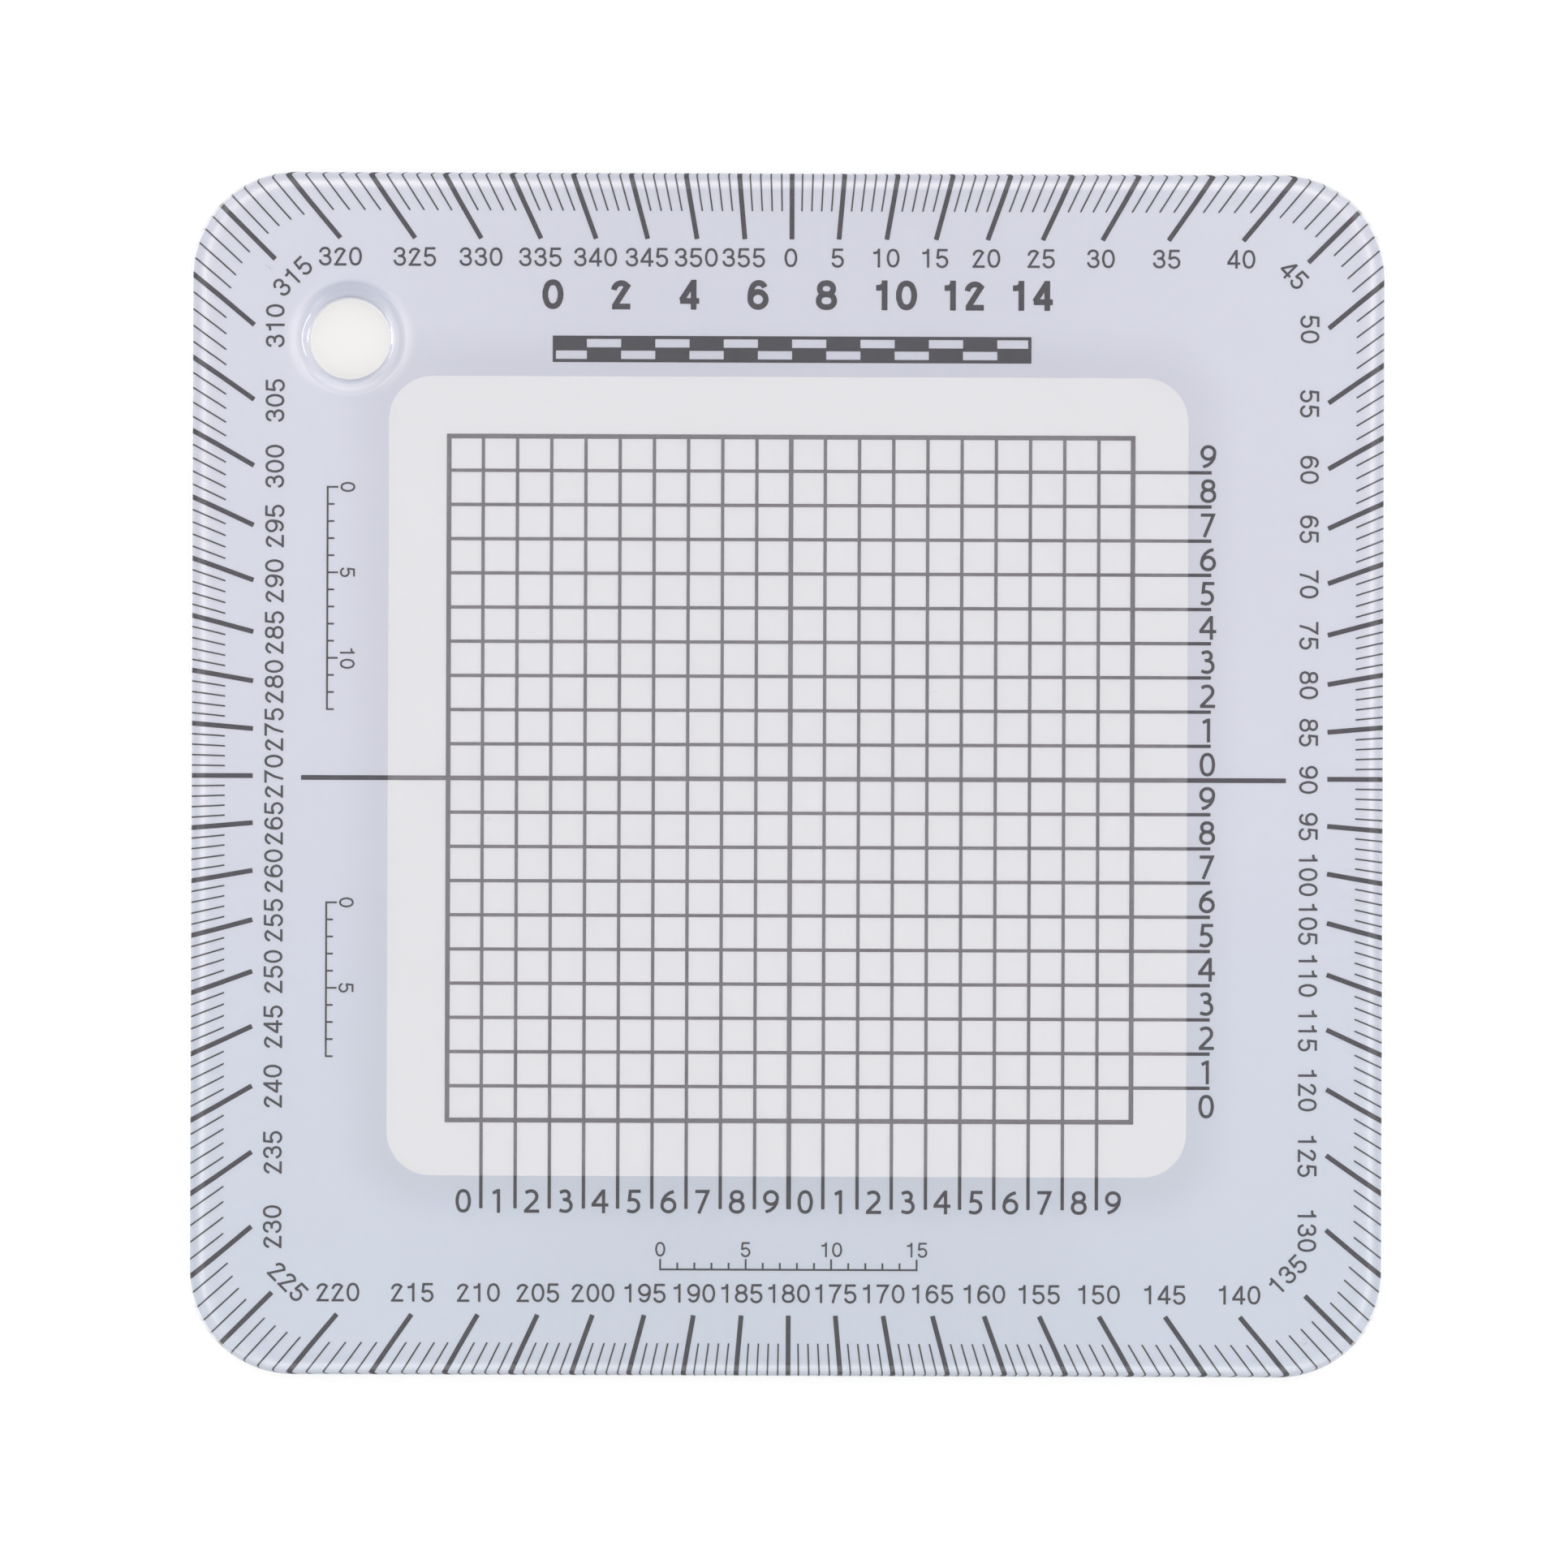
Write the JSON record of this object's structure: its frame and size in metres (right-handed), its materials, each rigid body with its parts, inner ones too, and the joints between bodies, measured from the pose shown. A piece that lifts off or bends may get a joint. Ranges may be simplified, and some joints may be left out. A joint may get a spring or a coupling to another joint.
{
  "type": "map coordinate reader",
  "caption": "Clear flat card with a square reading grid in a pale window, bearing marks round its rim and a lanyard hole, laid on a map to read grid references and bearings.",
  "frame": {"origin": "middle of the card's outline, on the plane of the printed underside that touches the map", "axes": "+Z out of the upper face, +Y towards the zero degree mark, +X towards the 90 degree mark"},
  "size_m": [0.0698, 0.0702, 0.0015],
  "materials": {
    "clear_plastic": "clear polished plastic, glossy on the upper face, with rounded rims",
    "tinted_film": "pale lavender translucent film under the border, smooth",
    "matte_film": "translucent matte film in the window, a neutral white veil over the ink",
    "printing_ink": "dark grey screen printing ink, matte, with slightly grainy edges"
  },
  "bodies": {
    "root": {"card_plate": "clear_plastic", "bearing_scale": "tinted_film", "window_film": "matte_film", "grid_ink": "printing_ink"}
  },
  "joints": []
}
